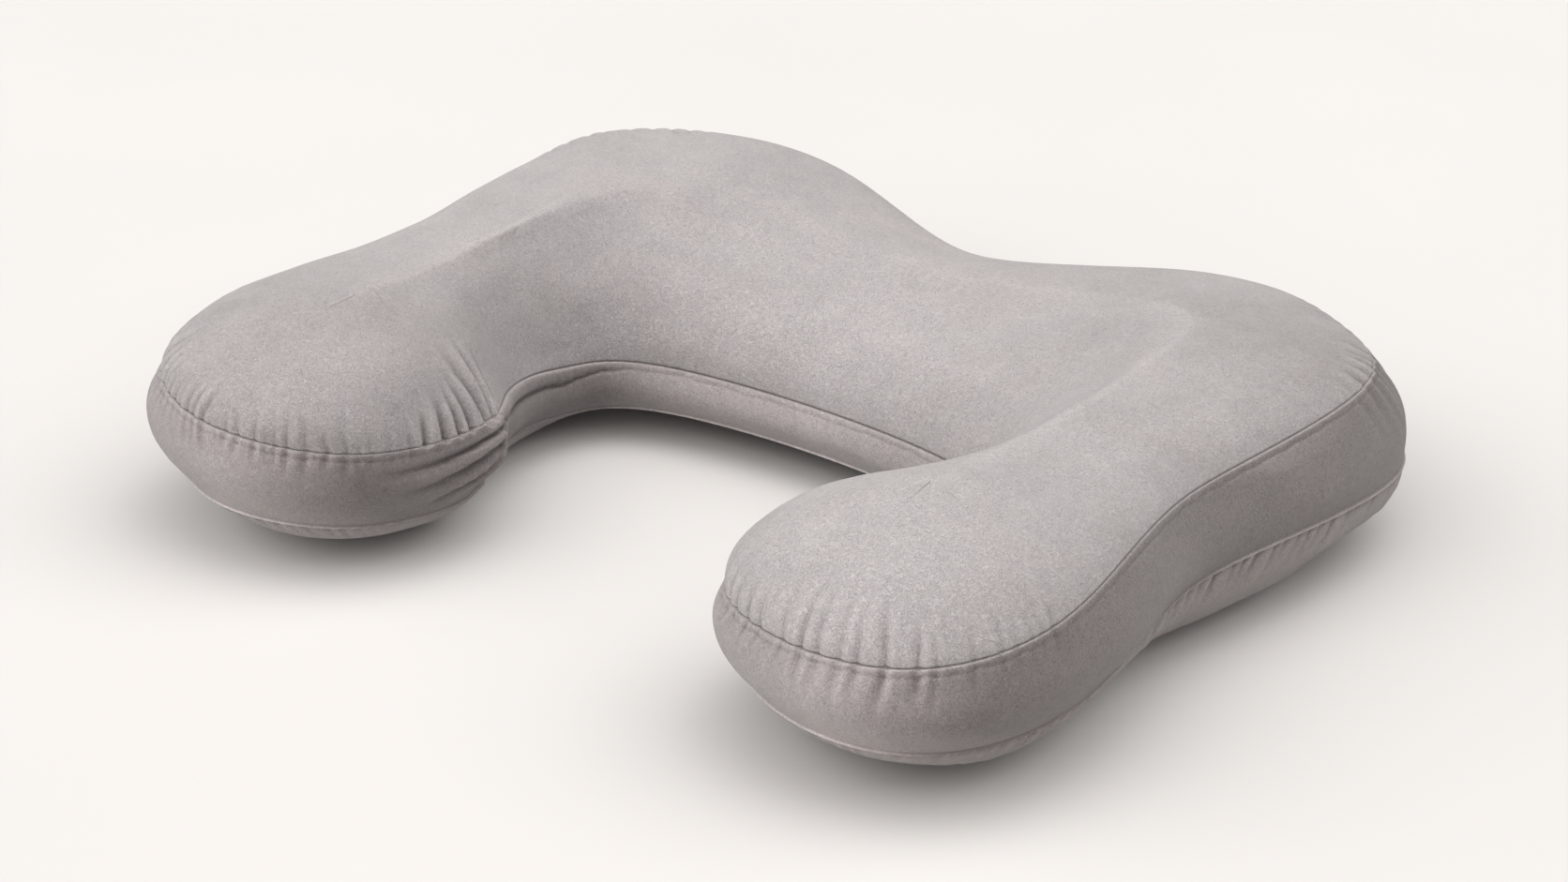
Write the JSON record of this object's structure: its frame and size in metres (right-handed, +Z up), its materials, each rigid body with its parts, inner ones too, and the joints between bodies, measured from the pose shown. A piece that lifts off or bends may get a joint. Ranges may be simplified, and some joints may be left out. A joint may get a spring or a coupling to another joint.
{
  "type": "u-shaped pillow",
  "caption": "U-shaped filled pillow in grey velour: a lobed back, short round-ended arms, a side band between sewn seams and gathered puckers.",
  "frame": {"origin": "on the surface the pillow rests on, under the middle of its bounding box", "axes": "+X across the arms towards the right one, +Y towards the lobed back, so that the arms point to -Y, +Z up"},
  "size_m": [0.4782, 0.4032, 0.1024],
  "materials": {
    "grey_velour": "soft short-pile warm grey velour with a fine nap"
  },
  "bodies": {
    "root": {"pillow": "grey_velour"}
  },
  "joints": []
}
